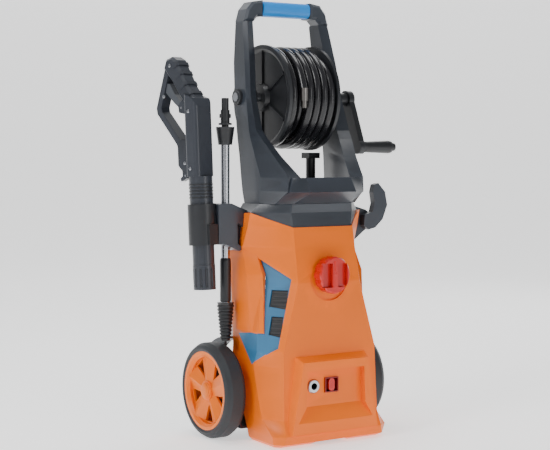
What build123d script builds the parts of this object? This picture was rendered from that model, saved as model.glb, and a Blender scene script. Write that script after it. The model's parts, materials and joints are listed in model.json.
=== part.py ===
from build123d import *
import math
import os

# Electric pressure washer on two wheels, with a hose reel, a spray gun and a lance.
# Millimetres. +X is the machine's left-to-right axis, -Y its front, +Z up.
# The origin lies on the floor, in the middle of the machine's outline.

# ---- driving dimensions -------------------------------------------------------------
RUNNING = 0.05            # radial clearance of every turning or sliding shaft
GAP = 0.4                 # air gap between separate pieces that only sit side by side
WALL = 4.0                # moulded shell thickness

AXLE_Y = 41.5             # wheel axle, behind the middle of the outline
WHEEL_R = 97.5
WHEEL_IN = 149.0          # inner face of each wheel, from the middle
WHEEL_OUT = 197.0
RIM_R = 80.0
AXLE_R = 8.0

REEL_Y = 34.5             # reel axis
REEL_Z = 693.0
FLANGE_R = 108.0
FLANGE_X = 62.0
DRUM_R = 72.0
COIL_R = 106.6            # outside of the wound hose
SHAFT_R = 9.0
FITTING_X = -24.0         # hose end, tucked into the coil's front
FITTING_R = 102.0
FITTING_Z = 684.0

KNOB_Y = -128.0           # selector knob: centre of its seat on the front panel
KNOB_Z = 337.0
KNOB_R = 37.0

MOTOR_Y = -12.0
MOTOR_R = 62.0
MOTOR_Z0 = 190.0
MOTOR_Z1 = 345.0

GUN_X = -211.0            # gun axis where it passes through the holster
GUN_Y = 18.5
GUN_Z = 437.0
GUN_LEAN = 3.0            # degrees, top of the gun leans back
GUN_TURN = 12.0           # degrees, handle turned outwards

LANCE_X = -157.0
LANCE_Y = 19.5
LANCE_R = 9.0

HOOK_X = 188.0
HOOK_Z = 440.0


# ---- helpers ------------------------------------------------------------------------
def block(x0, x1, y0, y1, z0, z1):
    """Box between two corners."""
    return Pos((x0 + x1) / 2, (y0 + y1) / 2, (z0 + z1) / 2) * Box(x1 - x0, y1 - y0, z1 - z0)


def rod_x(y, z, radius, x0, x1):
    """Cylinder along X."""
    return Pos((x0 + x1) / 2, y, z) * Rot(0, 90, 0) * Cylinder(radius, abs(x1 - x0))


def rod_y(x, z, radius, y0, y1):
    """Cylinder along Y."""
    return Pos(x, (y0 + y1) / 2, z) * Rot(90, 0, 0) * Cylinder(radius, abs(y1 - y0))


def rod_z(x, y, radius, z0, z1):
    """Cylinder along Z."""
    return Pos(x, y, (z0 + z1) / 2) * Cylinder(radius, z1 - z0)


def cone_z(x, y, r_low, r_high, z0, z1):
    """Cone along Z, r_low at z0."""
    return Pos(x, y, (z0 + z1) / 2) * Cone(r_low, r_high, z1 - z0)


def spin_x(profile, y, z):
    """Solid of revolution about an axis along X; profile is (x, radius) points."""
    face = make_face(Polyline(*[(x, r, 0) for x, r in profile], close=True))
    return Pos(0, y, z) * revolve(face, Axis.X)


def spin_z(profile, x, y):
    """Solid of revolution about an axis along Z; profile is (radius, z) points."""
    face = make_face(Polyline(*[(r, 0, z) for r, z in profile], close=True))
    return Pos(x, y, 0) * revolve(face, Axis.Z)


def plate_x(outline, x0, x1):
    """Outline of (y, z) points, extruded from x0 to x1."""
    face = make_face(Polyline(*[(x0, y, z) for y, z in outline], close=True))
    return extrude(face, x1 - x0, dir=(1, 0, 0))


def plate_y(outline, y0, y1):
    """Outline of (x, z) points, extruded from y0 to y1."""
    face = make_face(Polyline(*[(x, y0, z) for x, z in outline], close=True))
    return extrude(face, y1 - y0, dir=(0, 1, 0))


def stack(levels):
    """Ruled solid through closed outlines; levels are (z, [(x, y), ...])."""
    rings = [make_face(Polyline(*[(x, y, z) for x, y in ring], close=True)) for z, ring in levels]
    return loft(rings, ruled=True)


def both_sides(half):
    """Closed outline from the points of its right half, listed front to back."""
    return half + [(-x, y) for x, y in reversed(half)]


def mirror_x(shape):
    """The same shape on the machine's other side."""
    return mirror(shape, Plane.YZ)


def save(name, *shapes):
    """Write one node."""
    solids = []
    for shape in shapes:
        solids.extend(shape.solids())
    piece = solids[0] if len(solids) == 1 else Compound(children=solids)
    export_step(piece, "parts/" + name + ".step")


# ---- body shells --------------------------------------------------------------------
# One row per level: height, then (x, y) of the front corner, the side crease and the rear edge.
BODY = [
    (1.0, (116, -124), (126, -114), (122, -26)),
    (8.0, (120, -140), (134, -124), (128, -22)),
    (24.0, (116, -142), (138, -126), (129, -18)),
    (54.0, (114, -131), (138, -88), (127, -2)),
    (108.0, (113, -128), (138, -70), (125, 38)),
    (157.0, (112, -126), (138, -56), (125, 46)),
    (189.0, (111, -125), (140, -74), (125, 43)),
    (323.0, (75, -122), (121, -60), (128, 46)),
    (391.0, (73, -108), (138, -16), (129, 50)),
    (432.0, (72, -101), (136, -32), (125, 42)),
    (461.0, (70, -94), (135, -40), (123, 36)),
]
REAR = [
    (24.0, (129, -18), (112, 40), (84, 84)),
    (108.0, (125, 38), (114, 66), (84, 100)),
    (189.0, (125, 43), (114, 70), (84, 103)),
    (323.0, (128, 46), (116, 72), (82, 103)),
    (391.0, (129, 50), (116, 72), (80, 102)),
    (461.0, (123, 36), (112, 64), (78, 92)),
]


def shell_levels(rows, inset):
    """Levels of a shell, drawn in by the wall thickness."""
    levels = []
    for z, a, b, c in rows:
        behind = 20 if inset else 0
        half = [(a[0] - inset, a[1] + inset), (b[0] - inset, b[1] + inset), (c[0] - inset, c[1] + behind)]
        levels.append((z, half))
    return levels


def front_core(inset):
    """Solid inside the front shell's outline, as far back as the seam."""
    return stack([(z, both_sides(half)) for z, half in shell_levels(BODY, inset)])


def seam_keep():
    """Everything in front of the seam between the two shells."""
    seam = [(z, c[1]) for z, a, b, c in BODY]
    outline = [(y, z) for z, y in seam] + [(-200, 461), (-200, 0)]
    return plate_x(outline, -170, 170)


TOP_EDGE = [(-170, 477), (-135, 461), (-72, 432), (72, 432), (135, 461), (170, 477)]


def above_top_edge():
    """Space above the front shell's boat-shaped top edge."""
    return plate_y(TOP_EDGE + [(170, 520), (-170, 520)], -200, 200)


def side_pillar():
    """Moulded rib that stands out on the side, above the wheel."""
    low = [(-136, 12), (-135, -40), (-121, -74), (-108, -60), (-108, 20)]
    mid = [(-137, 22), (-138, -30), (-122, -66), (-108, -56), (-108, 26)]
    top = [(-134, 42), (-137, -12), (-122, -34), (-110, -30), (-110, 44)]
    return stack([(222.0, low), (338.0, mid), (392.0, top)])



INSERT_PLANE = Plane(origin=(-108, -86, 301), x_dir=(0.589, -0.809, 0), z_dir=(-0.788, -0.574, 0.2245))
INSERT_OUTLINE = [(-73, 89), (34, 30), (17, -108), (-47, -140), (-60, -79), (-17, -79), (-26, 36), (-64, 66)]
INSERT_SKIRT = [(-49, 158), (16, 214), (-40, 221), (-90, 221), (-112, 196)]
INSERT_DEPTH = 8.0
INSERT_T = 5.0
VENTS = [(-12, 26, -30, 9), (-8, 20, -86, -44)]


def on_insert(points, low, high):
    """Prism on the side insert's plane, between two heights above it."""
    face = INSERT_PLANE * make_face(Polyline(*[(u, v, 0) for u, v in points], close=True))
    prism = extrude(face, high - low, dir=INSERT_PLANE.z_dir)
    return prism.moved(Location(INSERT_PLANE.z_dir * low))


def insert_pocket():
    """Space over the slanted side panel, where the shell is sunk."""
    return on_insert(INSERT_OUTLINE, -INSERT_DEPTH, 60) - side_pillar()


def insert_bed():
    """Room for the side panel: a slanted plate and the skirt that wraps the side."""
    slanted = on_insert(INSERT_OUTLINE, -INSERT_DEPTH - INSERT_T, -INSERT_DEPTH) & front_core(0.2)
    skirt = (front_core(0) - front_core(3)) & plate_x(INSERT_SKIRT, -160, -60)
    return slanted - side_pillar(), skirt - side_pillar() - insert_pocket()


def side_insert():
    """Coloured side panel with two stepped air vents."""
    slanted, skirt = insert_bed()
    panel = slanted + skirt
    for u0, u1, v0, v1 in VENTS:
        pocket = on_insert([(u0, v0 + 5), (u1, v0), (u1, v1), (u0 + 3, v1)], -INSERT_DEPTH - 4, 0)
        panel -= pocket
    return panel.solids().sort_by(SortBy.VOLUME)[-1]


# ---- inlet box at the front ---------------------------------------------------------
BOX_FRONT = -147.5
BOX_BACK = -116.0
PLATE_Y = -134.0
BOX_OUTLINE = [(-104, 26), (-78, 168), (78, 168), (104, 26)]
RECESS = [(-92, 46), (-72, 78), (-69, 150), (69, 150), (72, 78), (92, 46)]
INLET_X = -47.0
INLET_Z = 118.0
SOCKET_X = -4.0
SOCKET_Z = 118.0


def inlet_outer():
    """Outer block of the inlet box, leaning back to the shell at its top and sides."""
    front = [(x, BOX_FRONT, z) for x, z in BOX_OUTLINE]
    back = [(x * 1.12, BOX_BACK, z + (14 if z > 100 else -2)) for x, z in BOX_OUTLINE]
    faces = [make_face(Polyline(*front, close=True)), make_face(Polyline(*back, close=True))]
    return loft(faces, ruled=True)


def inlet_bezel():
    """Front box with a sunk panel, its floor sloping out to the lower edge."""
    floor = [(PLATE_Y, 78), (BOX_FRONT - 1, 46), (BOX_FRONT - 1, 160), (PLATE_Y, 150)]
    pocket = plate_x(floor, -93, 93) & plate_y(RECESS, BOX_FRONT - 1, PLATE_Y)
    box = inlet_outer() - pocket
    box -= plate_y([(-66, 62), (-66, 144), (66, 144), (66, 62)], PLATE_Y + 3, BOX_BACK + 1)
    box -= rod_y(INLET_X, INLET_Z, 14.2, BOX_FRONT - 1, BOX_BACK + 1)
    box -= block(SOCKET_X - 16.2, SOCKET_X + 16.2, BOX_FRONT, BOX_BACK, SOCKET_Z - 15.2, SOCKET_Z + 15.2)
    return box


def water_inlet():
    """Metal inlet coupling with a through bore and a stepped collar."""
    profile = [(7, -138), (12, -138), (14, -136), (14, -112), (17, -112), (17, -104), (10, -104), (10, -88), (7, -88)]
    ring = revolve(make_face(Polyline(*[(r, y, 0) for r, y in profile], close=True)), Axis.Y)
    return Pos(INLET_X, 0, INLET_Z) * ring


def button_socket():
    """Square cup that holds the power button."""
    cup = block(SOCKET_X - 16, SOCKET_X + 16, -138, -96, SOCKET_Z - 15, SOCKET_Z + 15)
    cup -= block(SOCKET_X - 14, SOCKET_X + 14, -139, -112, SOCKET_Z - 13, SOCKET_Z + 13)
    return cup


def power_button():
    """Upright push button with a domed face."""
    body = block(SOCKET_X - 7, SOCKET_X + 7, -137, -117, SOCKET_Z - 12.4, SOCKET_Z + 12.4)
    return fillet(body.edges().filter_by(Axis.Y), 6)


# ---- selector knob and its switch -----------------------------------------------------
def knob_recess():
    """Round sunk seat in the front panel around the selector knob."""
    return rod_y(0, KNOB_Z - 6, 46, -200, KNOB_Y + 10)


def selector_knob():
    """Scalloped round knob with a grip rib and a stem into the switch."""
    front = KNOB_Y - 16
    knob = rod_y(0, KNOB_Z, KNOB_R, front, KNOB_Y + 6)
    knob = chamfer(knob.edges().sort_by(Axis.Y)[0], 3)
    for i in range(12):
        angle = math.radians(30 * i + 15)
        x = (KNOB_R + 4) * math.sin(angle)
        z = KNOB_Z + (KNOB_R + 4) * math.cos(angle)
        knob -= rod_y(x, z, 6, front - 1, KNOB_Y + 7)
    for side in (-1, 1):
        knob -= block(side * 18 - 11.5, side * 18 + 11.5, front - 1, front + 9, KNOB_Z - 24, KNOB_Z + 24)
    knob += rod_y(0, KNOB_Z, 5, KNOB_Y + 6, KNOB_Y + 36)
    return knob


def switch_box():
    """Rotary switch behind the front panel."""
    box = block(-24, 24, KNOB_Y + 26, KNOB_Y + 54, KNOB_Z - 24, KNOB_Z + 24)
    return box - rod_y(0, KNOB_Z, 5 + RUNNING, KNOB_Y + 25, KNOB_Y + 37)


def front_shell():
    """Front cover: faceted hourglass with boat-shaped top edge, pillars and pockets."""
    pillar = side_pillar()
    pocket = insert_pocket()
    slanted, skirt = insert_bed()
    outer = (front_core(0) & seam_keep()) - above_top_edge()
    liner = on_insert(INSERT_OUTLINE, -INSERT_DEPTH - INSERT_T - 4, -INSERT_DEPTH - INSERT_T)
    hollow = (front_core(WALL + 1) & block(-200, 200, -200, 200, 6, 470)) - liner - mirror_x(liner)
    half_cut = pocket + slanted + skirt
    shell = outer - half_cut - mirror_x(half_cut)
    shell = shell + pillar + mirror_x(pillar)
    shell -= hollow
    shell -= inlet_outer()
    shell += rod_y(0, KNOB_Z - 6, 50, KNOB_Y + 6, KNOB_Y + 16) & front_core(0)
    shell -= knob_recess()
    shell -= rod_y(0, KNOB_Z, 8, -200, -100)
    shell -= plate_y([(-46, -1), (-40, 6), (28, 7), (48, -1)], -160, -60)
    for side in (-1, 1):
        shell -= foot_pad(side)
    return shell.solids().sort_by(SortBy.VOLUME)[-1]


# ---- rear shell, base and covers --------------------------------------------------------
def rear_core(inset):
    """Solid inside the rear shell's outline."""
    levels = []
    for z, c, d, e in REAR:
        half = [(c[0] - inset, c[1] - 60), (c[0] - inset, c[1]), (d[0] - inset, d[1] - inset)]
        half.append((e[0] - inset, e[1] - inset))
        levels.append((z, both_sides(half)))
    return stack(levels)


def wheel_arch():
    """Dished bulge of the rear shell behind the right wheel."""
    return rod_x(AXLE_Y, WHEEL_R, 106, 100, 144)


def rear_shell():
    """Rear cover with wheel arches, axle tunnel, cord hole and louvres."""
    outer = rear_core(0) + wheel_arch() + mirror_x(wheel_arch())
    outer &= block(-150, 150, -70, 150, 24, 461)
    dish = rod_x(AXLE_Y, WHEEL_R, 102, 90, 140)
    hollow = rear_core(WALL) + dish + mirror_x(dish)
    hollow &= block(-200, 200, -200, 200, 24 + WALL, 470)
    shell = outer - hollow
    for side in (-1, 1):
        shell += rod_x(AXLE_Y, WHEEL_R, 16, side * 110, side * 144)
    pillar = side_pillar()
    shell = shell - seam_keep() - pillar - mirror_x(pillar)
    shell -= rod_x(AXLE_Y, WHEEL_R, AXLE_R, -150, 150)
    shell -= above_top_edge()
    shell -= rod_y(60, 150, 9, 80, 120)
    for i in range(7):
        z = 250 + 20 * i
        shell -= block(-50, 50, 80, 120, z, z + 8)
    return shell.solids().sort_by(SortBy.VOLUME)[-1]


def base_tray():
    """Floor pan that closes the shells from below and carries the motor cradle."""
    outline = both_sides([(100, -100), (118, -30), (96, 30)])
    tray = stack([(28.4, outline), (34.4, outline)])
    tray -= rod_z(-60, -90, 3, 20, 40)
    tray -= rod_z(60, -90, 3, 20, 40)
    return tray


def foot_pad(side):
    """Rubber foot under a front corner."""
    x = side * 86
    pad = block(x - 18, x + 18, -112, -80, 0, 4)
    return chamfer(pad.edges().filter_by(Axis.Z), 4)


# ---- upper frame ------------------------------------------------------------------------
# One row per level of the side post: height, inner front (x, y), front (x, y), outer (x, y), rear y.
POST = [
    (478.0, (88, -66), (98, -74), (114, -40), 22),
    (504.0, (72, -98), (92, -112), (116, -48), 27),
    (531.0, (60, -108), (91, -112), (117, -50), 30),
    (571.0, (76, -66), (100, -76), (118, -32), 34),
    (608.0, (88, -32), (111, -45), (119, -16), 40),
    (626.0, (92, -18), (115, -30), (119, -10), 43),
    (693.0, (93, 4), (112, -6), (116, 6), 56),
    (764.0, (88, 16), (107, 7), (112, 18), 66),
    (848.0, (81, 36), (99, 28), (105, 38), 70),
]
POST_T = 24.0
BAR_Y = 49.0
BAR_Z = 875.5


def frame_side():
    """Right side post with its bent shoulder and the stub of the top bar."""
    levels = []
    for z, inner, front, outer, rear in POST:
        x = outer[0]
        levels.append((z, [inner, front, outer, (x, rear - 6), (x - 6, rear), (x - POST_T, rear)]))
    leg = stack(levels)
    outline = [(81, 848), (105, 848), (98, 872), (84, 888), (58, 892), (58, 859), (72, 858)]
    shoulder = plate_y(outline, 28, 70)
    shoulder = chamfer(shoulder.edges().group_by(Axis.Y)[0], 5)
    shoulder = chamfer(shoulder.edges().group_by(Axis.Y)[-1], 5)
    return leg + shoulder - rod_x(REEL_Y, REEL_Z, 16, 60, 130)


def grip_sleeve():
    """Soft grip around the middle of the top bar."""
    sleeve = block(-57.6, 57.6, 31, 67, 860, 891)
    sleeve = fillet(sleeve.edges().filter_by(Axis.X), 13)
    return sleeve - rod_x(BAR_Y, BAR_Z, 8, -58, 58)


def grip_core():
    """Steel tube inside the grip, joining the two shoulders."""
    return rod_x(BAR_Y, BAR_Z, 8, -57.6, 57.6)


def frame_front():
    """Front cradle: boat-shaped collar, concave wall and the sloping visor rim."""
    collar = stack([
        (432.0, both_sides([(70, -98), (134, -32), (122, 34)])),
        (461.0, both_sides([(74, -96), (130, -36), (119, 30)])),
        (478.0, both_sides([(72, -98), (116, -44), (114, 22)])),
    ])
    inside = stack([
        (431.0, both_sides([(58, -84), (90, -44), (90, 60)])),
        (479.0, both_sides([(58, -84), (90, -44), (90, 60)])),
    ])
    wall = stack([
        (478.0, both_sides([(71, -97), (103, -61), (104, -18)])),
        (502.5, both_sides([(54, -139), (90, -115), (105, -28)])),
        (531.0, both_sides([(54, -120), (83, -114), (99, -41)])),
    ])
    mouth = stack([
        (477.0, both_sides([(58, -84), (90, -44), (90, 60)])),
        (532.0, both_sides([(53, -118), (66, -104), (90, 60)])),
    ])
    return ((collar & above_top_edge()) - inside) + (wall - mouth)


def frame_front_clear():
    """Cradle cut back to meet the side posts face to face."""
    side = frame_side()
    return (frame_front() - side - mirror_x(side)).solids().sort_by(SortBy.VOLUME)[-1]


def body_envelope():
    """Everything that the side brackets are moulded against."""
    pillar = side_pillar()
    shells = (front_core(0) + rear_core(0)) - above_top_edge()
    side = frame_side()
    return [shells, pillar, mirror_x(pillar), frame_front(), side, mirror_x(side)]


def top_deck():
    """Deck that closes the top of the shells between the posts."""
    deck = stack([(446.0, both_sides([(57, -80), (86, -42), (86, 70)])), (452.0, both_sides([(57, -80), (86, -42), (86, 70)]))])
    return deck


# ---- hose reel --------------------------------------------------------------------------
def reel_shaft():
    """Steel shaft through both bearings, with a square end for the crank."""
    return rod_x(REEL_Y, REEL_Z, SHAFT_R, -124, 150)


def reel_bearing(side):
    """Plain bearing bush pressed into the post."""
    ring = rod_x(REEL_Y, REEL_Z, 16, side * 84, side * 122)
    ring += rod_x(REEL_Y, REEL_Z, 22, side * 84, side * 89)
    return ring - rod_x(REEL_Y, REEL_Z, SHAFT_R + RUNNING, side * 80, side * 126)


def reel_drum():
    """Hollow drum on the shaft, with webs at both ends."""
    x = FLANGE_X - 6
    drum = rod_x(REEL_Y, REEL_Z, DRUM_R, -x, x) - rod_x(REEL_Y, REEL_Z, DRUM_R - 5, -x + 5, x - 5)
    return drum - rod_x(REEL_Y, REEL_Z, SHAFT_R, -80, 80)


def reel_flange(side):
    """Dished flange with a rolled rim, radial ribs and a hub."""
    x0 = FLANGE_X - 6
    profile = [(x0, SHAFT_R), (x0, FLANGE_R - 4), (x0 - 1, FLANGE_R), (x0 + 6, FLANGE_R), (x0 + 6, FLANGE_R - 8),
               (x0 + 3, FLANGE_R - 14), (x0 + 3, 30), (x0 + 12, 26), (x0 + 12, SHAFT_R)]
    disc = spin_x(profile, REEL_Y, REEL_Z)
    for i in range(6):
        rib = block(x0 + 3, x0 + 6, REEL_Y - 3, REEL_Y + 3, REEL_Z + 25, REEL_Z + 95)
        disc += rib.rotate(Axis((0, REEL_Y, REEL_Z), (1, 0, 0)), 60 * i)
    return disc if side > 0 else mirror_x(disc)


def hose_fitting():
    """Threaded end of the hose, tucked between the turns at the front of the coil."""
    y = REEL_Y - FITTING_R
    fitting = rod_z(FITTING_X, y, 8, FITTING_Z, FITTING_Z + 26)
    return fitting + rod_z(FITTING_X, y, 6, FITTING_Z - 14, FITTING_Z)


def hose_coil():
    """Outer shape of the wound hose, two layers deep, with a notch for its end."""
    x = FLANGE_X - 7.5
    coil = rod_x(REEL_Y, REEL_Z, COIL_R, -x, x) - rod_x(REEL_Y, REEL_Z, DRUM_R, -x - 1, x + 1)
    y = REEL_Y - FITTING_R
    return coil - block(FITTING_X - 8.4, FITTING_X + 8.4, y - 12, y + 8.4, FITTING_Z - 14.4, FITTING_Z + 26.4)


def crank_arm():
    """Flat crank arm on the shaft's right end, leaning to the front."""
    arm = rod_x(REEL_Y, REEL_Z, 19, 150, 163) + rod_x(-9.5, 592, 15, 150, 163)
    arm += plate_x([(REEL_Y - 18, REEL_Z - 5), (REEL_Y + 18, REEL_Z + 5), (5, 590), (-24, 590)], 150, 163)
    arm += rod_x(REEL_Y, REEL_Z, 14, 127, 150)
    arm -= rod_x(REEL_Y, REEL_Z, SHAFT_R, 120, 150)
    arm += rod_x(-9.5, 592, 5, 163, 236)
    return arm


def crank_knob():
    """Freely turning ribbed handle of the crank."""
    profile = [(163.4, 5.05), (163.4, 10), (170, 11.5), (232, 14), (238, 13), (240, 8.5), (248, 8.5), (248, 0),
               (236.4, 0), (236.4, 5.05)]
    knob = spin_x(profile, -9.5, 592)
    return knob


def reel_posts():
    """Two tubes that stand on the deck under the reel, each with a saddle block on top."""
    posts = []
    for side in (-1, 1):
        x = side * 62
        post = rod_z(x, REEL_Y, 10, 452, 574)
        posts.append(post + block(x - 14, x + 14, REEL_Y - 14, REEL_Y + 14, 568, 580))
    return posts


# ---- wheels -----------------------------------------------------------------------------
def tyre(side):
    """Rubber tyre with rounded shoulders and tread grooves."""
    x0, x1 = WHEEL_IN, WHEEL_OUT
    profile = [(x0 + 2, RIM_R), (x0, 86), (x0 + 4, 93), (x0 + 12, WHEEL_R), (x1 - 12, WHEEL_R), (x1 - 3, 92),
               (x1, 85), (x1 - 2, RIM_R)]
    ring = spin_x(profile, AXLE_Y, WHEEL_R)
    return ring if side > 0 else mirror_x(ring)


def wheel_rim(side):
    """Five-spoke faceted rim."""
    x1 = WHEEL_OUT - 2
    rim = spin_x([(WHEEL_IN + 2, 70), (WHEEL_IN + 2, RIM_R), (x1, RIM_R), (x1, 74), (x1 - 6, 68), (x1 - 10, 68),
                  (x1 - 10, 70)], AXLE_Y, WHEEL_R)
    hub = rod_x(AXLE_Y, WHEEL_R, 20, WHEEL_IN + 4, x1 - 5)
    disc = rod_x(AXLE_Y, WHEEL_R, 71, x1 - 17, x1 - 12)
    wheel = rim + hub + disc
    for i in range(5):
        ridge = loft([
            make_face(Polyline((x1 - 12, -24, 70), (x1 - 12, 24, 70), (x1 - 3, 0, 70), close=True)),
            make_face(Polyline((x1 - 12, -14, 4), (x1 - 12, 14, 4), (x1 - 7, 0, 4), close=True)),
        ], ruled=True)
        turned = ridge.rotate(Axis((0, 0, 0), (1, 0, 0)), 72 * i)
        wheel += Pos(0, AXLE_Y, WHEEL_R) * turned
        hole = plate_x([(-15, 64), (15, 64), (0, 27)], x1 - 20, x1 + 1)
        turned = hole.rotate(Axis((0, 0, 0), (1, 0, 0)), 72 * i + 36)
        wheel -= Pos(0, AXLE_Y, WHEEL_R) * turned
    wheel -= rod_x(AXLE_Y, WHEEL_R, AXLE_R + RUNNING, WHEEL_IN, WHEEL_OUT - 10)
    return wheel if side > 0 else mirror_x(wheel)


def axle():
    """Steel axle through the rear shell and both wheels."""
    return rod_x(AXLE_Y, WHEEL_R, AXLE_R, -186, 186)


# ---- motor and pump ---------------------------------------------------------------------
def motor_housing():
    """Motor can with stator laminations, open bore and end bosses."""
    can = rod_z(0, MOTOR_Y, MOTOR_R, MOTOR_Z0, MOTOR_Z1)
    can -= rod_z(0, MOTOR_Y, 36, MOTOR_Z0 + 8, MOTOR_Z1 - 8)
    can -= rod_z(0, MOTOR_Y, 8 + RUNNING, MOTOR_Z0 - 1, MOTOR_Z1 + 1)
    for i in range(24):
        fin = block(MOTOR_R - 3, MOTOR_R + 1, -2, 2, MOTOR_Z0 + 12, MOTOR_Z1 - 12)
        can -= Pos(0, MOTOR_Y, 0) * fin.rotate(Axis.Z, 15 * i)
    return can


def motor_rotor():
    """Rotor core on its shaft."""
    return rod_z(0, MOTOR_Y, 8, MOTOR_Z0 - 20, MOTOR_Z1 + 24) + rod_z(0, MOTOR_Y, 34, MOTOR_Z0 + 16, MOTOR_Z1 - 16)


def cooling_fan():
    """Fan on the shaft's upper end."""
    hub = rod_z(0, MOTOR_Y, 14, MOTOR_Z1 + 6, MOTOR_Z1 + 22) - rod_z(0, MOTOR_Y, 8, MOTOR_Z1, MOTOR_Z1 + 30)
    for i in range(8):
        blade = block(12, 52, -1.2, 1.2, MOTOR_Z1 + 7, MOTOR_Z1 + 21)
        hub += Pos(0, MOTOR_Y, 0) * blade.rotate(Axis.Z, 45 * i)
    return hub


def swash_plate():
    """Slanted drive plate on the shaft's lower end."""
    plate = rod_z(0, MOTOR_Y, 30, MOTOR_Z0 - 19, MOTOR_Z0 - 4)
    plate -= rod_z(0, MOTOR_Y, 8, MOTOR_Z0 - 30, MOTOR_Z0)
    wedge = plate_x([(-60, MOTOR_Z0 - 20), (60, MOTOR_Z0 - 20), (60, MOTOR_Z0 - 11)], -60, 60)
    return plate - wedge


def pump_block():
    """Pump body under the motor, with its three cylinders."""
    body = rod_z(0, MOTOR_Y, 42, 76, 150)
    for i in range(3):
        x = 24 * math.cos(math.radians(120 * i + 90))
        y = MOTOR_Y + 24 * math.sin(math.radians(120 * i + 90))
        body -= rod_z(x, y, 7 + RUNNING, 92, 151)
    return body


def pump_pistons():
    """Three plungers held against the swash plate by their springs."""
    pistons = []
    for i in range(3):
        x = 24 * math.cos(math.radians(120 * i + 90))
        y = MOTOR_Y + 24 * math.sin(math.radians(120 * i + 90))
        pistons.append(rod_z(x, y, 7, 100, 169))
    return pistons


def pump_head():
    """Valve head bolted under the pump, with its outlet boss."""
    head = block(-42, 42, MOTOR_Y - 42, MOTOR_Y + 42, 46, 76)
    head = fillet(head.edges().filter_by(Axis.Z), 10)
    return head


def motor_skirt():
    """Open bell that joins the motor to the pump."""
    bell = rod_z(0, MOTOR_Y, 56, 150, MOTOR_Z0) - rod_z(0, MOTOR_Y, 50, 149, MOTOR_Z0 + 1)
    return bell + (rod_z(0, MOTOR_Y, 56, 150, 154) - rod_z(0, MOTOR_Y, 40, 149, 155))


def pipe(points, radius, bend):
    """Round pipe along straight runs joined by bends."""
    path = FilletPolyline(*points, radius=bend)
    start = Plane(origin=path @ 0, z_dir=path % 0)
    return sweep(start * Circle(radius), path)


def inlet_pipe():
    """Pipe from the water inlet to the pump head."""
    return pipe([(INLET_X, -88, INLET_Z), (INLET_X, -70, INLET_Z), (INLET_X, -70, 60), (-28, -70, 60), (-28, -54, 60)],
                7.2, 9)


def outlet_pipe():
    """High-pressure pipe from the pump head up to the reel's left bearing."""
    return pipe([(42, -12, 60), (80, -12, 60), (80, -12, 440)], 6, 18)


def capacitor():
    """Motor capacitor beside the can."""
    can = rod_z(-84, 30, 17, 230, 310)
    return chamfer(can.edges().group_by(Axis.Z)[-1], 3)


def cord_gland():
    """Strain relief for the mains lead, at the back."""
    profile = [(5, 91), (14, 91), (14, 96.6), (9, 96.6), (9, 102.8), (14, 102.8), (14, 108), (8, 124), (5, 124)]
    ring = revolve(make_face(Polyline(*[(r, y, 0) for r, y in profile], close=True)), Axis.Y)
    return Pos(60, 0, 150) * ring


# ---- gun, holster and lance ---------------------------------------------------------------
GUN = Location((GUN_X, GUN_Y, GUN_Z), (0, 0, GUN_TURN)) * Location((0, 0, 0), (-GUN_LEAN, 0, 0))
TRIGGER_PIVOT = (35.5, 235)
LATCH_PIVOT = (35, 99)


def gun_half(side):
    """One moulded half of the gun's body."""
    core = plate_x([(-17, 96), (-17, 236), (-8, 252), (19, 262), (19, 96)], -24, 24)
    core = fillet(core.edges().filter_by(Axis.Z), 9)
    grip = plate_x([(-8, 250), (12, 276), (30, 306), (44, 332), (58, 340), (76, 336), (84, 318), (60, 290),
                    (40, 262), (19, 236), (0, 236)], -17, 17)
    grip = chamfer(grip.edges().filter_by(Axis.X, reverse=True), 5)
    guard = plate_x([(70, 338), (84, 316), (114, 240), (112, 228), (56, 163), (51, 151), (18, 151), (18, 172),
                     (44, 172), (98, 232), (99, 240), (76, 300), (64, 316)], -11, 11)
    inlet = plate_x([(18, 172), (50, 164), (50, 120), (38, 108), (18, 106)], -14, 14)
    lugs = plate_x([(16, 220), (42, 226), (44, 240), (30, 252), (16, 248)], -14, 14)
    lugs += plate_x([(26, 112), (44, 116), (42, 94), (28, 94)], -10, 10)
    whole = core + grip + guard + inlet + lugs
    whole -= rod_z(0, 0, 9, 90, 238)
    whole -= block(-9.6, 9.6, 12, 60, 216, 256) & plate_x([(12, 216), (60, 216), (60, 262), (30, 252), (12, 232)], -20, 20)
    whole -= block(-6.4, 6.4, 20, 60, 80, 106)
    whole -= rod_x(*TRIGGER_PIVOT, 2.5, -14, 14) + rod_x(*LATCH_PIVOT, 2, -10, 10)
    half = whole & block(0, 60, -80, 200, 0, 400)
    return half if side > 0 else mirror_x(half)


def gun_barrel():
    """Barrel tube that passes through the holster, stepped where it rests on the rim."""
    profile = [(6, -80), (22, -80), (22, 41.3), (23.6, 41.3), (23.6, 96), (8.8, 96), (8.8, 230), (6, 230)]
    return spin_z(profile, 0, 0)


def muzzle_socket():
    """Bayonet socket at the muzzle, with grip flutes."""
    socket = rod_z(0, 0, 22.4, -130, -80.5) - rod_z(0, 0, 8.5, -131, -92)
    socket -= rod_z(0, 0, 6, -100, -70)
    for i in range(12):
        angle = math.radians(30 * i)
        socket -= rod_z(24 * math.cos(angle), 24 * math.sin(angle), 3.4, -124, -88)
    return socket


def trigger_lever():
    """Wide trigger between grip and guard."""
    lever = plate_x([(34, 241), (30, 234), (36, 228), (60, 246), (86, 270), (80, 288), (72, 286), (58, 264)], -9, 9)
    return lever - rod_x(*TRIGGER_PIVOT, 2.5 + RUNNING, -20, 20)


def safety_latch():
    """Small lock lever under the hose inlet."""
    latch = plate_x([(30, 103), (40, 104), (54, 94), (52, 88), (36, 93), (29, 97)], -6, 6)
    return latch - rod_x(*LATCH_PIVOT, 2 + RUNNING, -20, 20)


def gun_pins():
    """Pins that the trigger and the latch turn on."""
    return [rod_x(*TRIGGER_PIVOT, 2.5, -14, 14), rod_x(*LATCH_PIVOT, 2, -10, 10)]


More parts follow.
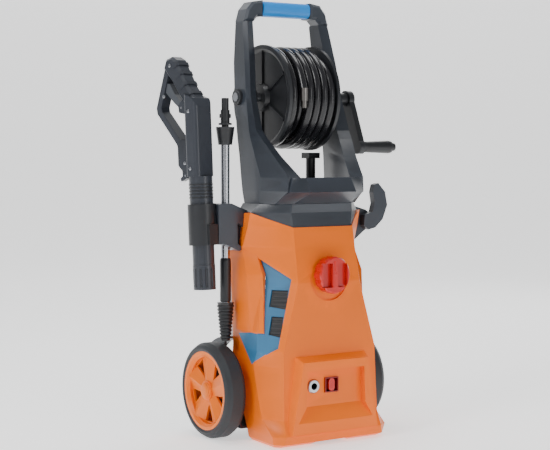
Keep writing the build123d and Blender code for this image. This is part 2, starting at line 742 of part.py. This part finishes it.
def holster():
    """Tapered cup that the gun's barrel hangs in, with a flat clip on its front."""
    cup = rod_z(0, 0, 28.5, -41, 41) + block(-11, 11, -33, -20, -40, 0)
    return cup - rod_z(0, 0, 22.6, -42, 42)


def holder_arm():
    """Moulded bracket between the body and the holster, with a slot for the lance."""
    outline = [(-196, 478), (-160, 479), (-128, 466), (-112, 458), (-112, 402), (-128, 388), (-142, 383),
               (-158, 390), (-176, 398), (-196, 398)]
    arm = plate_y(outline, -10, 44)
    arm -= GUN * rod_z(0, 0, 28.5, -60, 60)
    arm -= block(-250, -190, -50, 80, 380, 500)
    arm -= rod_z(LANCE_X, LANCE_Y, LANCE_R + GAP, 370, 490)
    arm -= block(LANCE_X - LANCE_R - GAP, LANCE_X + LANCE_R + GAP, LANCE_Y, 60, 370, 490)
    arm -= plate_y([(-146, 440), (-122, 424), (-122, 400), (-138, 392), (-146, 398)], -12, 2)
    for solid in body_envelope():
        arm -= solid
    return arm.solids().sort_by(SortBy.VOLUME)[-1]


def lance_tube():
    """Steel lance tube."""
    return rod_z(LANCE_X, LANCE_Y, LANCE_R, 278, 596) - rod_z(LANCE_X, LANCE_Y, 6, 277, 597)


def lance_nipple():
    """Bayonet end of the lance with its lug and flange."""
    nipple = rod_z(LANCE_X, LANCE_Y, 7.5, 632, 690) + rod_z(LANCE_X, LANCE_Y, 9.2, 640, 666)
    nipple += rod_z(LANCE_X, LANCE_Y, 13.5, 636, 640)
    nipple += block(LANCE_X - 12, LANCE_X + 12, LANCE_Y - 3, LANCE_Y + 3, 650, 658)
    return nipple


def lance_collar():
    """Conical sleeve between the tube and the nipple."""
    return cone_z(LANCE_X, LANCE_Y, 14, 19, 596, 632)


def turbo_nozzle():
    """Ribbed conical nozzle at the lance's lower end."""
    profile = [(3, 200), (9, 200)]
    for i in range(10):
        z = 204 + 7 * i
        r = 9.5 + 0.66 * i
        profile += [(r, z), (r + 2.2, z + 2), (r + 2.2, z + 4.5), (r + 0.3, z + 5)]
    profile += [(17, 277.6), (3, 277.6)]
    return spin_z(profile, LANCE_X, LANCE_Y)


# ---- cable hook -----------------------------------------------------------------------------
def hook_base():
    """Bracket on the right side that the cable hook turns on."""
    outline = [(111, 474), (150, 468), (184, 458), (204, 444), (202, 428), (178, 412), (156, 396), (130, 400)]
    outline.append((111, 420))
    base = plate_y(outline, 4, 34) - rod_y(HOOK_X, HOOK_Z, 5 + RUNNING, 0, 18)
    for solid in body_envelope():
        base -= solid
    return base.solids().sort_by(SortBy.VOLUME)[-1]


def cable_hook():
    """Swinging claw for the wound mains lead."""
    claw = plate_y([(170, 448), (168, 426), (180, 416), (198, 420), (218, 438), (230, 468), (224, 496), (206, 515),
                    (196, 512), (192, 496), (196, 472), (191, 454)], -12, 3)
    return claw + rod_y(HOOK_X, HOOK_Z, 5, 3, 16)


def build_all():
    """Write every node of the machine."""
    os.makedirs("parts", exist_ok=True)
    shell = front_shell()
    insert = side_insert()
    save("front_shell", shell)
    save("rear_shell", rear_shell())
    save("side_insert_left", insert)
    save("side_insert_right", mirror_x(insert))
    save("base_tray", base_tray())
    save("foot_pads", foot_pad(-1), foot_pad(1))
    save("inlet_bezel", inlet_bezel())
    save("water_inlet", water_inlet())
    save("button_socket", button_socket())
    save("power_button", power_button())
    save("selector_knob", selector_knob())
    save("switch_box", switch_box())
    save("frame_front", frame_front_clear())
    save("frame_right", frame_side())
    save("frame_left", mirror_x(frame_side()))
    save("grip_sleeve", grip_sleeve())
    save("grip_core", grip_core())
    save("top_deck", top_deck())
    save("reel_shaft", reel_shaft())
    save("reel_bearings", reel_bearing(-1), reel_bearing(1))
    save("reel_drum", reel_drum())
    save("reel_flange_left", reel_flange(-1))
    save("reel_flange_right", reel_flange(1))
    save("hose_coil", hose_coil())
    save("hose_fitting", hose_fitting())
    save("crank_arm", crank_arm())
    save("crank_knob", crank_knob())
    save("reel_posts", *reel_posts())
    for name, side in (("left", -1), ("right", 1)):
        save("tyre_" + name, tyre(side))
        save("wheel_rim_" + name, wheel_rim(side))
    save("axle", axle())
    save("motor_housing", motor_housing())
    save("motor_rotor", motor_rotor())
    save("cooling_fan", cooling_fan())
    save("swash_plate", swash_plate())
    save("motor_skirt", motor_skirt())
    save("pump_block", pump_block())
    save("pump_pistons", *pump_pistons())
    save("pump_head", pump_head())
    save("inlet_pipe", inlet_pipe())
    save("outlet_pipe", outlet_pipe())
    save("capacitor", capacitor())
    save("cord_gland", cord_gland())
    save("gun_shell_left", GUN * gun_half(-1))
    save("gun_shell_right", GUN * gun_half(1))
    save("gun_barrel", GUN * gun_barrel())
    save("muzzle_socket", GUN * muzzle_socket())
    save("trigger_lever", GUN * trigger_lever())
    save("gun_pins", *[GUN * pin for pin in gun_pins()])
    save("safety_latch", GUN * safety_latch())
    save("holster", GUN * holster())
    save("holder_arm", holder_arm())
    save("lance_tube", lance_tube())
    save("lance_nipple", lance_nipple())
    save("lance_collar", lance_collar())
    save("turbo_nozzle", turbo_nozzle())
    save("hook_base", hook_base())
    save("cable_hook", cable_hook())


build_all()
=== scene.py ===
import json
import math

import bmesh
import bpy
from mathutils import Matrix, Vector


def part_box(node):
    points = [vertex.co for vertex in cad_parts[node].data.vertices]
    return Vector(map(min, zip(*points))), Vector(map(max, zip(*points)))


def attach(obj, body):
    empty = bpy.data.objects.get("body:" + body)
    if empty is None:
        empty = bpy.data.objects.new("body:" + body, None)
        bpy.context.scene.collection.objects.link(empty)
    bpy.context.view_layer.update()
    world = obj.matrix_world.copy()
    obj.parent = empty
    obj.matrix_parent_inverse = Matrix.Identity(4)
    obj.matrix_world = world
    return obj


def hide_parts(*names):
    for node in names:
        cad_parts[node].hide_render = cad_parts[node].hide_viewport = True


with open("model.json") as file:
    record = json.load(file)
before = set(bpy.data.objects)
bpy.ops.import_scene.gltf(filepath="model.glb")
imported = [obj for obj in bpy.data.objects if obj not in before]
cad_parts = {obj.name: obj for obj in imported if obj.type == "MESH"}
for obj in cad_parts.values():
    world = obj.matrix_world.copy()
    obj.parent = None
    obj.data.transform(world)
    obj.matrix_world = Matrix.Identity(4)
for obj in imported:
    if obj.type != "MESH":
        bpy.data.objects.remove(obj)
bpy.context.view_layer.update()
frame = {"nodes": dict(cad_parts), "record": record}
NODES = frame["nodes"]


# ---- camera ---------------------------------------------------------------------------------
LENS_MM = 91.66
CAMERA_AT = (-1.61231, -2.40194, 0.58834)
CAMERA_TILT = 3.12                 # degrees below the horizontal
CAMERA_TURN = -33.04               # degrees round the vertical


def add_camera():
    """Long lens, level with the top of the gun's holster, from the front left."""
    data = bpy.data.cameras.new("camera")
    data.lens = LENS_MM
    data.sensor_width = 36.0
    data.clip_end = 50.0
    cam = bpy.data.objects.new("camera", data)
    cam.location = CAMERA_AT
    cam.rotation_euler = (math.radians(90 - CAMERA_TILT), 0.0, math.radians(CAMERA_TURN))
    bpy.context.scene.collection.objects.link(cam)
    bpy.context.scene.camera = cam


add_camera()


# ---- materials ------------------------------------------------------------------------------
SLOW_NOISE = 14.0                  # scale of the broad tone changes
BUMP_DEPTH = 0.0004
EDGE_HIGHLIGHT_RAMP = (0.50, 0.58)           # pointiness where the painted edge highlight starts and is full
GLOSS_SPREAD = (0.85, 1.18)


def shaded(c, k):
    """Colour c made k times as bright."""
    return (min(1, c[0] * k), min(1, c[1] * k), min(1, c[2] * k), 1.0)


def finish_of(name, color, rough=0.4, grain=900.0, bump=0.12, spread=0.10, metal=0.0, coat=0.0,
              edge=1.25, streak=0.0, specular=0.5):
    """Moulded or machined surface: fine grain, slow tone changes, painted highlight on the convex edges,
    uneven gloss.
    """
    mat = bpy.data.materials.new(name)
    mat.use_nodes = True
    nt = mat.node_tree
    nt.nodes.clear()
    new, link = nt.nodes.new, nt.links.new
    out = new("ShaderNodeOutputMaterial")
    bsdf = new("ShaderNodeBsdfPrincipled")
    link(bsdf.outputs["BSDF"], out.inputs["Surface"])
    bsdf.inputs["Metallic"].default_value = metal
    bsdf.inputs["Coat Weight"].default_value = coat
    bsdf.inputs["Coat Roughness"].default_value = 0.15
    bsdf.inputs["Specular IOR Level"].default_value = specular
    coord = new("ShaderNodeTexCoord")
    mapping = new("ShaderNodeMapping")
    if streak:
        mapping.inputs["Scale"].default_value = (1.0, 1.0, streak)
    link(coord.outputs["Object"], mapping.inputs["Vector"])
    slow = new("ShaderNodeTexNoise")
    slow.inputs["Scale"].default_value = SLOW_NOISE
    slow.inputs["Detail"].default_value = 4.0
    link(coord.outputs["Object"], slow.inputs["Vector"])
    fine = new("ShaderNodeTexNoise")
    fine.inputs["Scale"].default_value = grain
    fine.inputs["Detail"].default_value = 3.0
    link(mapping.outputs["Vector"], fine.inputs["Vector"])
    tone = new("ShaderNodeMix")
    tone.data_type = "RGBA"
    tone.inputs["A"].default_value = shaded(color, 1.0 - spread)
    tone.inputs["B"].default_value = shaded(color, 1.0 + spread)
    link(slow.outputs["Fac"], tone.inputs["Factor"])
    geo = new("ShaderNodeNewGeometry")
    ramp = new("ShaderNodeValToRGB")
    ramp.color_ramp.elements[0].position = EDGE_HIGHLIGHT_RAMP[0]
    ramp.color_ramp.elements[1].position = EDGE_HIGHLIGHT_RAMP[1]
    link(geo.outputs["Pointiness"], ramp.inputs["Fac"])
    # painted highlight: convex edges (high pointiness) are mixed toward a lighter copy of the colour
    edge_highlight = new("ShaderNodeMix")
    edge_highlight.data_type = "RGBA"
    link(ramp.outputs["Color"], edge_highlight.inputs["Factor"])
    link(tone.outputs["Result"], edge_highlight.inputs["A"])
    edge_highlight.inputs["B"].default_value = shaded(color, edge)
    link(edge_highlight.outputs["Result"], bsdf.inputs["Base Color"])
    gloss = new("ShaderNodeMapRange")
    gloss.inputs["To Min"].default_value = rough * GLOSS_SPREAD[0]
    gloss.inputs["To Max"].default_value = min(1.0, rough * GLOSS_SPREAD[1])
    link(slow.outputs["Fac"], gloss.inputs["Value"])
    link(gloss.outputs["Result"], bsdf.inputs["Roughness"])
    dent = new("ShaderNodeBump")
    dent.inputs["Strength"].default_value = bump
    dent.inputs["Distance"].default_value = BUMP_DEPTH
    link(fine.outputs["Fac"], dent.inputs["Height"])
    link(dent.outputs["Normal"], bsdf.inputs["Normal"])
    return mat


# edge= sets how much lighter the painted edge highlight of each finish is
ORANGE = finish_of("orange_shell_finish", (0.90, 0.165, 0.0, 1), 0.36, 1100, 0.10, 0.05, edge=1.10,
                   specular=0.32)
RIM = finish_of("orange_rim_finish", (0.88, 0.175, 0.0, 1), 0.36, 1100, 0.10, 0.06, edge=1.12,
                specular=0.32)
PANEL = finish_of("blue_panel_finish", (0.026, 0.15, 0.30, 1), 0.42, 1000, 0.18, 0.06)
GRIP = finish_of("blue_grip_finish", (0.004, 0.20, 0.58, 1), 0.40, 1000, 0.15, 0.05)
FRAME = finish_of("dark_frame_finish", (0.024, 0.029, 0.038, 1), 0.32, 950, 0.18, 0.08, edge=1.5, coat=0.15)
BLACK = finish_of("black_plastic_finish", (0.011, 0.012, 0.014, 1), 0.36, 950, 0.2, 0.10, edge=1.6)
GUNMAT = finish_of("gun_plastic_finish", (0.020, 0.023, 0.030, 1), 0.34, 950, 0.2, 0.08, edge=1.5, coat=0.1)
TRIGGER = finish_of("trigger_finish", (0.045, 0.05, 0.058, 1), 0.36, 950, 0.15, 0.08, edge=1.4)
RED = finish_of("red_plastic_finish", (0.52, 0.006, 0.003, 1), 0.28, 1200, 0.06, 0.06, coat=0.25, edge=1.2)
DARKRED = finish_of("dark_red_finish", (0.22, 0.004, 0.003, 1), 0.35, 1200, 0.08, 0.08, coat=0.1, edge=1.2)
TYRE = finish_of("tyre_rubber_finish", (0.020, 0.023, 0.027, 1), 0.60, 700, 0.5, 0.10, edge=1.3)
FOOT = finish_of("foot_rubber_finish", (0.014, 0.014, 0.015, 1), 0.7, 700, 0.4, 0.1)
HOSE = finish_of("hose_rubber_finish", (0.012, 0.012, 0.014, 1), 0.22, 1400, 0.12, 0.12, edge=1.2)
FITTING = finish_of("dark_fitting_finish", (0.18, 0.17, 0.16, 1), 0.3, 1500, 0.1, 0.1, metal=1.0)
CHROME = finish_of("bright_steel_finish", (0.42, 0.43, 0.46, 1), 0.24, 1600, 0.06, 0.05, metal=1.0,
                   streak=0.05)
STEEL = finish_of("steel_finish", (0.3, 0.31, 0.33, 1), 0.32, 1600, 0.2, 0.08, metal=1.0, streak=0.05)
CAST = finish_of("cast_aluminium_finish", (0.36, 0.37, 0.38, 1), 0.5, 500, 0.5, 0.1, metal=1.0)
WHITE = finish_of("capacitor_finish", (0.7, 0.7, 0.66, 1), 0.4, 1000, 0.1, 0.04)
BY_SLOT = {
    "orange_shell": ORANGE, "orange_rim": RIM, "blue_panel": PANEL, "blue_grip": GRIP,
    "dark_frame": FRAME, "black_plastic": BLACK, "gun_plastic": GUNMAT, "trigger_grey": TRIGGER,
    "red_plastic": RED, "dark_red": DARKRED, "tyre_rubber": TYRE, "foot_rubber": FOOT,
    "hose_rubber": HOSE, "brass": FITTING, "bright_steel": CHROME, "steel": STEEL,
    "cast_aluminium": CAST, "capacitor_white": WHITE,
}
SOFT_EDGE = {                      # width in millimetres
    "front_shell": 2.2, "inlet_bezel": 1.6, "rear_shell": 2.2, "side_insert_left": 1.4,
    "side_insert_right": 1.4, "frame_front": 3.0, "frame_left": 3.0, "frame_right": 3.0,
    "grip_sleeve": 2.0, "selector_knob": 1.2, "power_button": 1.5, "button_socket": 0.8,
    "gun_shell_left": 1.6, "gun_shell_right": 1.6, "gun_barrel": 0.8, "trigger_lever": 1.2,
    "holster": 1.2, "holder_arm": 1.6, "cable_hook": 2.0, "hook_base": 1.6, "crank_arm": 1.5,
    "crank_knob": 1.0, "tyre_left": 3.0, "tyre_right": 3.0, "wheel_rim_left": 1.0,
    "wheel_rim_right": 1.0, "top_deck": 1.2, "turbo_nozzle": 0.5, "lance_collar": 0.8,
    "reel_flange_left": 0.8, "reel_flange_right": 0.8, "water_inlet": 0.6, "muzzle_socket": 0.5,
    "base_tray": 1.2, "safety_latch": 0.6,
}
EDGE_ANGLE = 24                    # degrees; sharper corners are softened


def dress_nodes():
    """Every kept CAD node gets its finish; the nodes listed in SOFT_EDGE also get softened edges."""
    for entry in frame["record"]["subparts"]:
        name = entry["node"]
        obj = NODES[name]
        mat = BY_SLOT[entry["material_slot"]]
        if not obj.material_slots:
            obj.data.materials.append(mat)
        for s in obj.material_slots:
            s.material = mat
        width = SOFT_EDGE.get(name)
        if width:
            mod = obj.modifiers.new("soft_edge", "BEVEL")
            mod.width = width / 1000.0
            mod.segments = 3
            mod.limit_method = "ANGLE"
            mod.angle_limit = math.radians(EDGE_ANGLE)
    

dress_nodes()


# ---- hose -----------------------------------------------------------------------------------
REEL = Vector((0.0, 0.0345, 0.693))
HOSE_D = 0.0164
STEPS = 16
PITCH = 0.01755
INNER_R = 0.0803
OUTER_R = 0.0975
EDGE_X = 0.0462
START_ANGLE = -30.0                # degrees; behind and below the shaft
RISE_TURNS = 0.25                  # the hose climbs off the drum
DROP_FROM = 0.72                   # and comes down again to the inner layer
STEP_TURNS = 0.30                  # step from the inner to the outer layer
END_TURNS = 0.12
END_RISE = 0.0045                  # the end lifts into its fitting
INNER_END = 1.0 + (2 * EDGE_X - PITCH) / PITCH
OUTER_START = INNER_END + STEP_TURNS
TURNS = 9.564


def ease(t):
    """0 to 1 with level ends."""
    t = max(0.0, min(1.0, t))
    return t * t * (3 - 2 * t)


def wound(t):
    """Place across the drum and radius after t turns of the winding."""
    if t < DROP_FROM:
        return -EDGE_X, INNER_R + (OUTER_R - INNER_R) * ease(t / RISE_TURNS)
    if t < 1.0:
        k = ease((t - DROP_FROM) / 0.28)
        return -EDGE_X + PITCH * k, OUTER_R + (INNER_R - OUTER_R) * k
    if t < INNER_END:
        return -EDGE_X + PITCH * t, INNER_R
    if t < OUTER_START:
        return EDGE_X, INNER_R + (OUTER_R - INNER_R) * ease((t - INNER_END) / STEP_TURNS)
    last = ease((t - TURNS + END_TURNS) / END_TURNS)
    return EDGE_X - PITCH * (t - OUTER_START), OUTER_R + END_RISE * last


def coil_points():
    """Control points of the winding, set out a little so the smooth line has the true radius."""
    swell = 1.0 / math.cos(math.pi / STEPS)
    points = []
    count = int(round(TURNS * STEPS))
    for i in range(count + 1):
        t = TURNS * i / count
        x, r = wound(t)
        angle = math.radians(START_ANGLE + 360.0 * t)
        if 0 < i < count:
            r *= swell
        points.append(REEL + Vector((x, r * math.cos(angle), r * math.sin(angle))))
    return points


def nurbs(name, points, radius, mat):
    """Round cord on one smooth open spline."""
    data = bpy.data.curves.new(name, "CURVE")
    data.dimensions = "3D"
    spline = data.splines.new("NURBS")
    spline.points.add(len(points) - 1)
    for p, co in zip(spline.points, points):
        p.co = (*co, 1.0)
    spline.order_u = 3
    spline.use_endpoint_u = True
    spline.resolution_u = 6
    data.bevel_depth = radius
    data.bevel_resolution = 6
    data.use_fill_caps = True
    data.materials.append(mat)
    obj = bpy.data.objects.new(name, data)
    bpy.context.scene.collection.objects.link(obj)
    return obj


def add_hose():
    points = coil_points()
    hose = nurbs("pressure_hose", points, HOSE_D / 2, HOSE)
    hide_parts("hose_coil")
    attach(hose, "reel")


add_hose()


# ---- mesh helpers -----------------------------------------------------------------------------
def mesh_object(name, bm, mat, body, bevel=0.0):
    """Finished piece that rides on a body, with softened edges if bevel is given."""
    mesh = bpy.data.meshes.new(name)
    bmesh.ops.recalc_face_normals(bm, faces=bm.faces)
    bm.to_mesh(mesh)
    bm.free()
    mesh.materials.append(mat)
    obj = bpy.data.objects.new(name, mesh)
    bpy.context.scene.collection.objects.link(obj)
    if bevel:
        mod = obj.modifiers.new("soft_edge", "BEVEL")
        mod.width = bevel
        mod.segments = 3
        mod.limit_method = "ANGLE"
        mod.angle_limit = math.radians(30)
    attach(obj, body)
    return obj


def lathe(bm, profile, place, count=32):
    """Turns (radius, height) round the place's own Z."""
    rings = []
    for r, h in profile:
        ring = []
        for i in range(count):
            a = 2 * math.pi * i / count
            ring.append(bm.verts.new(place @ Vector((r * math.cos(a), r * math.sin(a), h))))
        rings.append(ring)
    for a, b in zip(rings, rings[1:]):
        for i in range(count):
            j = (i + 1) % count
            bm.faces.new((a[i], a[j], b[j], b[i]))
    bm.faces.new(rings[0][::-1])
    bm.faces.new(rings[-1])


def slab(bm, x0, x1, y0, y1, z0, z1, place=Matrix.Identity(4)):
    """Small straight bar."""
    co = [(x, y, z) for x in (x0, x1) for y in (y0, y1) for z in (z0, z1)]
    v = [bm.verts.new(place @ Vector(c)) for c in co]
    for f in ((0, 1, 3, 2), (4, 6, 7, 5), (0, 4, 5, 1), (2, 3, 7, 6), (0, 2, 6, 4), (1, 5, 7, 3)):
        bm.faces.new([v[i] for i in f])


def facing(axis, origin):
    """Frame whose Z looks along axis."""
    rot = Vector(axis).to_track_quat("Z", "Y").to_matrix().to_4x4()
    return Matrix.Translation(origin) @ rot


def screw(bm, origin, axis, r=0.0045):
    """Pan-head screw with a round recess."""
    place = facing(axis, origin)
    profile = [(r, -0.0006), (r, 0.0008), (r * 0.8, 0.0016), (r * 0.45, 0.0019), (r * 0.4, 0.0009)]
    lathe(bm, profile, place, 20)


# ---- gun details ------------------------------------------------------------------------------
GUN = (Matrix.Translation((-0.211, 0.0185, 0.437)) @ Matrix.Rotation(math.radians(12), 4, "Z")
       @ Matrix.Rotation(math.radians(-3), 4, "X"))


def add_gun_details():
    """Raised bands across the back of the grip, body screws and rings on the barrel."""
    bm = bmesh.new()
    back = [Vector((0, -0.008, 0.250)), Vector((0, 0.012, 0.276)),
            Vector((0, 0.030, 0.306)), Vector((0, 0.044, 0.332))]
    for t in (0.18, 0.42, 0.66, 0.90):
        k = t * 3
        i = min(2, int(k))
        mid = back[i].lerp(back[i + 1], k - i)
        along = (back[i + 1] - back[i]).normalized()
        rot = Matrix(((1, 0, 0), (0, along.z, along.y), (0, -along.y, along.z))).to_4x4()
        place = GUN @ Matrix.Translation(mid) @ rot
        ring = [(-0.0178, 0.018), (-0.0178, 0.002), (-0.0128, -0.0022),
                (0.0128, -0.0022), (0.0178, 0.002), (0.0178, 0.018)]
        inner = [(x * 0.9, y + 0.004 if abs(x) < 0.015 else y) for x, y in ring]
        quad = []
        for z in (-0.0035, 0.0035):
            quad.append([bm.verts.new(place @ Vector((x, y, z))) for x, y in ring])
            quad.append([bm.verts.new(place @ Vector((x, y, z))) for x, y in inner])
        low, low_in, high, high_in = quad
        for n in range(len(ring) - 1):
            bm.faces.new((low[n], low[n + 1], high[n + 1], high[n]))
            bm.faces.new((low_in[n], high_in[n], high_in[n + 1], low_in[n + 1]))
            bm.faces.new((low[n], low_in[n], low_in[n + 1], low[n + 1]))
            bm.faces.new((high[n], high[n + 1], high_in[n + 1], high_in[n]))
        for n in (0, len(ring) - 1):
            bm.faces.new((low[n], high[n], high_in[n], low_in[n]))
    mesh_object("grip_bands", bm, GUNMAT, "gun", 0.0012)
    bm = bmesh.new()
    for y, z in ((0.003, 0.226), (0.003, 0.112), (0.030, 0.124), (0.062, 0.322), (0.090, 0.262)):
        half = 0.024 if z < 0.24 and y < 0.02 else (0.014 if y < 0.05 else (0.017 if z > 0.3 else 0.011))
        for side in (-1, 1):
            axis = (GUN.to_3x3() @ Vector((side, 0, 0)))
            screw(bm, GUN @ Vector((side * half, y, z)), axis, 0.0036)
    mesh_object("gun_screws", bm, STEEL, "gun")
    bm = bmesh.new()
    for z in (0.052, 0.0585, 0.065, 0.0715, 0.078):
        lathe(bm, [(0.0230, z), (0.0246, z + 0.0012), (0.0246, z + 0.0030), (0.0230, z + 0.0042)], GUN, 40)
    mesh_object("barrel_rings", bm, BLACK, "gun")


def add_lance_details():
    """Black sleeve on the lance's lower half, with a swaged end: painted dark reflection of the steel tube
    there.
    """
    bm = bmesh.new()
    place = Matrix.Translation((-0.157, 0.0195, 0.0))
    # painted reflection: black plastic where the bare steel tube only reflects dark surroundings
    profile = [(0.0092, 0.279), (0.0112, 0.281), (0.0112, 0.362), (0.0105, 0.366), (0.0092, 0.368)]
    lathe(bm, profile, place, 40)
    mesh_object("lance_reflection_sleeve", bm, BLACK, "lance")


def add_knob_details():
    """Raised pointer and thumb pad on the knob's rib."""
    bm = bmesh.new()
    slab(bm, -0.0018, 0.0018, -0.1452, -0.1436, 0.343, 0.366)
    slab(bm, -0.0042, 0.0042, -0.1450, -0.1436, 0.312, 0.341)
    mesh_object("knob_pointer", bm, RED, "selector", 0.0005)


def add_button_details():
    bm = bmesh.new()
    lo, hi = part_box("power_button")
    mid = (lo + hi) / 2
    for k in (-1, 0, 1):
        z = mid.z + k * 0.0042
        slab(bm, mid.x - 0.0035, mid.x + 0.0035, lo.y - 0.0006, lo.y + 0.002, z - 0.0007, z + 0.0007)
    mesh_object("button_ribs", bm, RED, "button", 0.0003)


def add_hub_caps():
    """Domed cap with a stepped edge over each axle end."""
    for side, body in ((-1, "wheel_left"), (1, "wheel_right")):
        bm = bmesh.new()
        place = facing((side, 0, 0), Vector((side * 0.190, 0.0415, 0.0975)))
        lathe(bm, [(0.0175, -0.001), (0.0175, 0.0018), (0.0150, 0.0030), (0.0145, 0.0045), (0.0090, 0.0062),
                   (0.0030, 0.0066)], place, 48)
        mesh_object("hub_cap_" + ("left" if side < 0 else "right"), bm, RIM, body, 0.0004)


def add_vents():
    """Dark grille behind each side vent: a back plate and four tilted slats."""
    z_dir = Vector((-0.788, -0.574, 0.2245)).normalized()
    x_dir = Vector((0.589, -0.809, 0.0))
    x_dir = (x_dir - z_dir * x_dir.dot(z_dir)).normalized()
    y_dir = z_dir.cross(x_dir)
    plane = Matrix((x_dir, y_dir, z_dir)).transposed().to_4x4()
    plane.translation = Vector((-0.108, -0.086, 0.301))
    for side, name in ((1, "vents_left"), (-1, "vents_right")):
        place = Matrix.Diagonal((side, 1, 1, 1)) @ plane
        bm = bmesh.new()
        for u0, u1, v0, v1 in ((-0.012, 0.026, -0.030, 0.009), (-0.008, 0.020, -0.086, -0.044)):
            corners = [(u0 + 0.0008, v0 + 0.0055), (u1 - 0.0006, v0 + 0.0008), (u1 - 0.0006, v1 - 0.0006),
                       (u0 + 0.0036, v1 - 0.0006)]
            low = [bm.verts.new(place @ Vector((u, v, -0.01198))) for u, v in corners]
            top = [bm.verts.new(place @ Vector((u, v, -0.0114))) for u, v in corners]
            bm.faces.new(low)
            bm.faces.new(top[::-1])
            for i in range(4):
                j = (i + 1) % 4
                bm.faces.new((low[i], top[i], top[j], low[j]))
            for k in range(4):
                v = v0 + 0.009 + (v1 - v0 - 0.014) * k / 3
                tilt = Matrix.Translation((0, v, -0.0102)) @ Matrix.Rotation(math.radians(35), 4, "X")
                slab(bm, u0 + 0.0045, u1 - 0.001, -0.0028, 0.0028, -0.0005, 0.0005, place @ tilt)
        mesh_object(name, bm, BLACK, "root")


def add_gland_ribs():
    """Tapered ribs of the strain relief at the back."""
    bm = bmesh.new()
    place = facing((0, 1, 0), Vector((0.060, 0.0, 0.150)))
    for i in range(3):
        h = 0.1095 + 0.0045 * i
        r = 0.0142 - 0.0016 * i
        lathe(bm, [(r - 0.003, h), (r, h + 0.0008), (r, h + 0.0022), (r - 0.003, h + 0.003)], place, 32)
    mesh_object("gland_ribs", bm, BLACK, "root")


add_gun_details()
add_lance_details()
add_knob_details()
add_button_details()
add_hub_caps()
add_gland_ribs()
add_vents()


# ---- stage and light ----------------------------------------------------------------------------
def add_stage():
    bm = bmesh.new()
    size = 9.0
    back = 3.2
    prof = [(-size, 0.0), (back, 0.0)]
    for i in range(1, 13):
        a = math.radians(90.0 * i / 12)
        prof.append((back + 1.6 * math.sin(a), 1.6 - 1.6 * math.cos(a)))
    prof.append((back + 1.6, 7.0))
    turn = Matrix.Rotation(math.radians(CAMERA_TURN), 4, "Z")
    rows = []
    for x in (-size, size):
        rows.append([bm.verts.new(turn @ Vector((x, y, z))) for y, z in prof])
    for i in range(len(prof) - 1):
        bm.faces.new((rows[0][i], rows[1][i], rows[1][i + 1], rows[0][i + 1]))
    mesh = bpy.data.meshes.new("floor")
    bm.to_mesh(mesh)
    bm.free()
    for p in mesh.polygons:
        p.use_smooth = True
    mat = bpy.data.materials.new("pale_floor")
    mat.use_nodes = True
    bsdf = mat.node_tree.nodes["Principled BSDF"]
    bsdf.inputs["Base Color"].default_value = (0.88, 0.88, 0.88, 1)
    bsdf.inputs["Roughness"].default_value = 0.85
    bsdf.inputs["Emission Color"].default_value = (1, 1, 1, 1)
    bsdf.inputs["Emission Strength"].default_value = 0.85
    mesh.materials.append(mat)
    floor = bpy.data.objects.new("floor", mesh)
    bpy.context.scene.collection.objects.link(floor)


def area(name, place, aim, size, power):
    data = bpy.data.lights.new(name, "AREA")
    data.shape = "RECTANGLE"
    data.size, data.size_y = size
    data.energy = power
    lamp = bpy.data.objects.new(name, data)
    lamp.location = place
    lamp.rotation_euler = (Vector(aim) - Vector(place)).to_track_quat("-Z", "Y").to_euler()
    bpy.context.scene.collection.objects.link(lamp)


def add_light():
    world = bpy.data.worlds.new("studio")
    world.use_nodes = True
    world.node_tree.nodes["Background"].inputs["Color"].default_value = (0.97, 0.98, 1.0, 1)
    world.node_tree.nodes["Background"].inputs["Strength"].default_value = 0.30
    bpy.context.scene.world = world
    area("key", (-2.6, -0.6, 2.2), (0, 0, 0.45), (0.9, 1.4), 44)
    area("front_fill", (0.6, -3.0, 1.0), (0, 0, 0.45), (0.7, 1.4), 13)
    area("top", (-0.2, 0.2, 3.0), (0, 0, 0.3), (1.4, 1.4), 40)
    area("rim", (2.2, 1.6, 1.8), (0, 0, 0.5), (1.0, 1.6), 16)


add_stage()
add_light()
